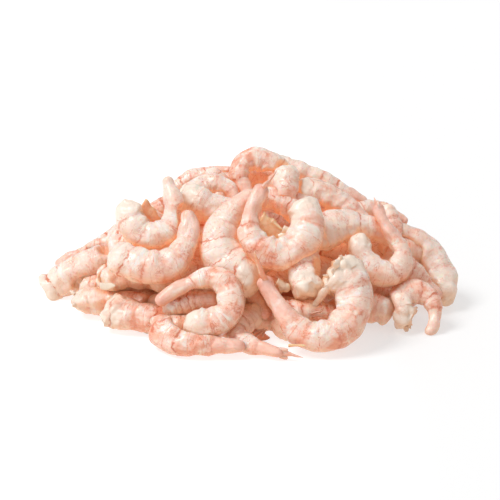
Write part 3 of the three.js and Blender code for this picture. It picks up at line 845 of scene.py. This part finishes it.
flakes = [
    sliver([2.2, -26.0, 30.0], [6.7, 0.0, -4.4], FACING_FRONT, 8.2, 5.6, flat=0.16, head=0.0, blush=0.5),
    sliver([3.6, -26.4, 26.9], [4.8, 0.0, -1.6], FACING_FRONT, 5.4, 3.8, flat=0.16, head=0.25, blush=0.4),
    sliver([5.6, -26.6, 30.4], [3.0, 0.0, -2.6], FACING_FRONT, 3.8, 1.2, flat=0.4, head=0.25),
    sliver([8.6, -26.6, 28.2], [1.2, 0.0, -0.6], FACING_FRONT, 2.2, 2.4, flat=0.8, blunt=0.4),
    sliver([7.6, -26.8, 26.0], [1.2, 0.0, 0.5], FACING_FRONT, 2.3, 2.0, flat=0.8, blunt=0.4),
    sliver([-29.8, -15.0, 29.8], [5.2, 0.0, -3.6], FACING_FRONT, 6.6, 5.4, flat=0.2, head=0.0, tail=0.5,
           blush=0.8),
    sliver([-39.5, -31.0, 13.6], [4.4, 0.0, 0.2], FACING_FRONT, 4.2, 1.6, flat=0.3, curl=0.1),
    sliver([6.9, -34.0, 16.0], [3.0, 0.0, -1.5], FACING_FRONT, 3.9, 3.2, flat=0.6, blunt=0.5, head=0.7),
    sliver([7.6, -34.2, 14.2], [2.8, 0.0, 0.9], FACING_FRONT, 3.2, 2.9, flat=0.6, blunt=0.5, head=0.5),
    sliver([9.8, -48.0, 3.9], [4.2, 0.0, 0.1], FACING_FRONT, 4.6, 0.6, flat=0.8, head=0.0),
]
flake_flesh = flesh_finish(
    "flake_flesh", cream=paint(248, 204, 162), pink=paint(236, 166, 116), streak=paint(228, 140, 100),
    seam_brown=paint(208, 112, 78), cut=paint(251, 238, 220), tail_pink=paint(246, 186, 156),
    milk_and_sheen_white=paint(250, 214, 176))
loose_flakes = put_down("flakes", flakes, flake_flesh)
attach(loose_flakes, "root")
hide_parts("shrimp_heap")

# The tail spike of the big front curl: a thin pointed plate that stands up over its neighbour.
# It is bare shell, left on in peeling.
spike = [sliver([4.3, -36.3, 15.9], [-2.9, -2.0, 9.1], FACING_FRONT, 10.9, 1.6, flat=0.5, curl=0.0,
                blunt=1.0, head=0.0, tail=1.0, blush=0.8)]
spike_shell = flesh_finish(
    "spike_shell", cream=paint(250, 222, 204), pink=paint(240, 172, 140), streak=paint(218, 122, 86),
    seam_brown=paint(218, 124, 88), cut=paint(250, 231, 213), tail_pink=paint(241, 176, 146))
tail_spike = put_down("tail_spike", spike, spike_shell)
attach(tail_spike, "root")
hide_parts("shrimp_heap")

# Legs: thin brown stumps of swimming legs left on two shrimp, at the front where the belly
# sides show. They grew on the flesh and were missed in peeling.
LEG_THICKNESS = 0.5

legs = [
    sliver([15.6, -40.3, 9.5], [3.4, 0.0, 1.0], FACING_FRONT, 3.6, LEG_THICKNESS, flat=0.9),
    sliver([16.0, -40.3, 8.8], [3.6, 0.0, 0.5], FACING_FRONT, 3.9, LEG_THICKNESS, flat=0.9),
    sliver([18.0, -40.3, 9.9], [1.2, 0.0, 1.6], FACING_FRONT, 2.0, LEG_THICKNESS, flat=0.9),
    sliver([0.8, -39.0, 3.6], [3.2, 0.0, 1.4], FACING_FRONT, 3.4, LEG_THICKNESS, flat=0.9),
    sliver([1.4, -39.0, 2.6], [3.0, 0.0, 2.2], FACING_FRONT, 3.8, LEG_THICKNESS, flat=0.9),
    sliver([3.2, -39.0, 2.8], [1.2, 0.0, 2.0], FACING_FRONT, 2.4, LEG_THICKNESS, flat=0.9),
]
leg_flesh = flesh_finish(
    "leg_brown", cream=paint(218, 160, 132), pink=paint(182, 112, 84), streak=paint(96, 48, 36),
    seam_brown=paint(96, 48, 36), cut=paint(206, 146, 118), tail_pink=paint(150, 84, 60),
    milk_and_sheen_white=paint(226, 178, 152))
leg_stumps = put_down("legs", legs, leg_flesh)
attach(leg_stumps, "root")
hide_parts("shrimp_heap")

# How much light reaches each point of the flesh, kept on its mesh for the finishes to read:
# from the white room, the lamp and the pale table, each fading in whatever flesh lies on its
# way. The finishes paint this shade into the colour as a warm orange tint, and add a painted glow.
CELL_LOW = np.array([-72.0, -70.0, -4.0])
CELL_COUNT = (144, 134, 66)
WAYS = 44
LAMP_WAY = np.array([-0.54, -0.08, 0.84])
LAMP_SHARE = 3.4
LAMP_TIGHTNESS = 5.0
TABLE_SHARE = 0.05
OFF_THE_SKIN = 1.1
LOOK_STEPS = 15
LIGHT_FADE = 2.6
PAINTED_GLOW_FROM = 0.6
PAINTED_GLOW_HEIGHT = 23.5

flesh_cells = np.zeros(CELL_COUNT)
cell_numbers = np.meshgrid(*[np.arange(count) for count in CELL_COUNT], indexing="ij")
cell_places = np.stack(cell_numbers, axis=-1) + 0.5 + CELL_LOW
heart_reach = (cell_places - [0, HEART_BACK_SHIFT, 0]) / [HEART_HALF_WIDTH, HEART_HALF_DEPTH, HEART_HEIGHT]
flesh_cells[(np.linalg.norm(heart_reach, axis=-1) < 1) & (cell_places[..., 2] > 0)] = 1
for line, radius in laid:
    for ball, size in zip(line, radius):
        low = np.maximum(np.floor(ball - size - CELL_LOW), 0).astype(int)
        high = np.maximum(np.ceil(ball + size - CELL_LOW), 1).astype(int)
        block = tuple(slice(a, b) for a, b in zip(low, high))
        distance = np.linalg.norm(cell_places[block] - ball, axis=-1)
        flesh_cells[block] = np.maximum(flesh_cells[block], np.clip(size - distance + 0.5, 0, 1))
flesh_cells[..., cell_places[0, 0, :, 2] < 0] = 0

steady = np.arange(WAYS) + 0.5
way_up = 1 - 2 * steady / WAYS
way_round = steady * math.pi * (3 - math.sqrt(5))
flat_part = np.sqrt(1 - way_up ** 2)
ways = np.stack([flat_part * np.cos(way_round), flat_part * np.sin(way_round), way_up], axis=1)
to_lamp = np.clip(ways @ LAMP_WAY, 0, 1) ** LAMP_TIGHTNESS
brightness = np.where(way_up > 0, 1.0, TABLE_SHARE) + LAMP_SHARE * to_lamp
brightest = (np.clip(ways @ LAMP_WAY, 0, 1) * brightness).sum()

for piece in (heart, inside_shrimp, deeper_shrimp, far_shrimp, front_shrimp, middle_shrimp,
              left_shrimp, right_shrimp, top_shrimp, loose_flakes, tail_spike, leg_stumps):
    count = len(piece.data.vertices)
    points = np.empty(count * 3)
    normals = np.empty(count * 3)
    piece.data.vertices.foreach_get("co", points)
    piece.data.vertex_normals.foreach_get("vector", normals)
    points, normals = points.reshape(-1, 3) / MM, normals.reshape(-1, 3)
    lit = np.zeros(count)
    for way, bright in zip(ways, brightness):
        facing = normals @ way
        open_side = facing > 0
        start = points[open_side] + normals[open_side] * OFF_THE_SKIN - CELL_LOW
        crossed = np.zeros(len(start))
        for step in range(LOOK_STEPS):
            cell = np.clip((start + way * (step + 0.5)).astype(int), 0, np.array(CELL_COUNT) - 1)
            crossed += flesh_cells[cell[:, 0], cell[:, 1], cell[:, 2]]
        lit[open_side] += facing[open_side] * bright * np.exp(-crossed / LIGHT_FADE)
    # The share of shade at each point, which the finishes paint into the colour as a warm tint
    shade_share = np.clip(1 - lit / brightest, 0, 1)
    # The painted glow: deep shade high in the heap gets an orange emission
    painted_glow = smooth_step(shade_share, PAINTED_GLOW_FROM, 1.0) * np.clip(points[:, 2] / PAINTED_GLOW_HEIGHT, 0, 1) ** 2
    for label, values in (("shade_share", shade_share), ("painted_glow", painted_glow)):
        layer = piece.data.attributes.new(label, "FLOAT", "POINT")
        layer.data.foreach_set("value", values.astype(np.float32))

# The table: a plain white top that glows by itself, a painted light that is brighter at the left,
# so that only the shade close to the right of the heap shows on it.
TABLE_HALF_SIZE = 3000.0
TABLE_GLOW = 0.55
TABLE_GLOW_LEFT = 0.74
GLOW_FALLS = (0.0, 0.045)
TABLE_GREY = paint(166, 166, 166)
WHITE = (1.0, 1.0, 1.0, 1.0)

table_finish = bpy.data.materials.new("white_table")
table_finish.use_nodes = True
table_top = table_finish.node_tree.nodes["Principled BSDF"]
table_top.inputs["Base Color"].default_value = TABLE_GREY
table_top.inputs["Roughness"].default_value = 0.7
table_top.inputs["Emission Color"].default_value = WHITE
table_places = table_finish.node_tree.nodes.new("ShaderNodeTexCoord")
table_sides = table_finish.node_tree.nodes.new("ShaderNodeSeparateXYZ")
table_fall = table_finish.node_tree.nodes.new("ShaderNodeMapRange")
table_fall.interpolation_type = "SMOOTHSTEP"
table_fall.inputs["From Min"].default_value = GLOW_FALLS[0]
table_fall.inputs["From Max"].default_value = GLOW_FALLS[1]
table_fall.inputs["To Min"].default_value = TABLE_GLOW_LEFT
table_fall.inputs["To Max"].default_value = TABLE_GLOW
table_links = table_finish.node_tree.links
table_links.new(table_places.outputs["Object"], table_sides.inputs["Vector"])
table_links.new(table_sides.outputs["X"], table_fall.inputs["Value"])
table_links.new(table_fall.outputs["Result"], table_top.inputs["Emission Strength"])
corners = np.array([[-1, -1, 0], [1, -1, 0], [1, 1, 0], [-1, 1, 0]]) * TABLE_HALF_SIZE
table = put_mesh("table", corners, [[0, 1, 2, 3]], {}, table_finish)

# The light: a white room all round, and one broad soft lamp above, to the left and a little to
# the front, which leaves the shade at the right.
ROOM_BRIGHTNESS = 0.58
LAMP_STRENGTH = 2.1
LAMP_SPREAD = 26.0
LAMP_LEAN_FRONT = 5.0
LAMP_LEAN_LEFT = 33.0

room = bpy.data.worlds.new("white_room")
room.use_nodes = True
room.node_tree.nodes["Background"].inputs["Color"].default_value = WHITE
room.node_tree.nodes["Background"].inputs["Strength"].default_value = ROOM_BRIGHTNESS
bpy.context.scene.world = room
lamp = bpy.data.lights.new("broad_lamp", "SUN")
lamp.energy = LAMP_STRENGTH
lamp.angle = math.radians(LAMP_SPREAD)
lamp_holder = bpy.data.objects.new("broad_lamp", lamp)
lamp_holder.rotation_euler = (math.radians(LAMP_LEAN_FRONT), math.radians(-LAMP_LEAN_LEFT), 0)
bpy.context.collection.objects.link(lamp_holder)
bpy.context.scene.view_settings.view_transform = "Standard"

# The camera looks along +Y and 20 degrees down, from half a metre, at a point inside the heap,
# under its peak. It takes in a width of 140 mm there.
CAMERA_DISTANCE = 500.0
CAMERA_DROP = 20.0
CAMERA_TARGET = np.array([0.0, 0.0, 12.5])
VIEW_WIDTH = 140.0
SENSOR_WIDTH = 36.0

camera = bpy.data.cameras.new("camera")
camera.sensor_width = SENSOR_WIDTH
camera.lens = SENSOR_WIDTH * CAMERA_DISTANCE / VIEW_WIDTH
camera_holder = bpy.data.objects.new("camera", camera)
drop = math.radians(CAMERA_DROP)
stand = CAMERA_TARGET + CAMERA_DISTANCE * np.array([0.0, -math.cos(drop), math.sin(drop)])
camera_holder.location = (stand * MM).tolist()
camera_holder.rotation_euler = (math.pi / 2 - drop, 0.0, 0.0)
bpy.context.collection.objects.link(camera_holder)
bpy.context.scene.camera = camera_holder
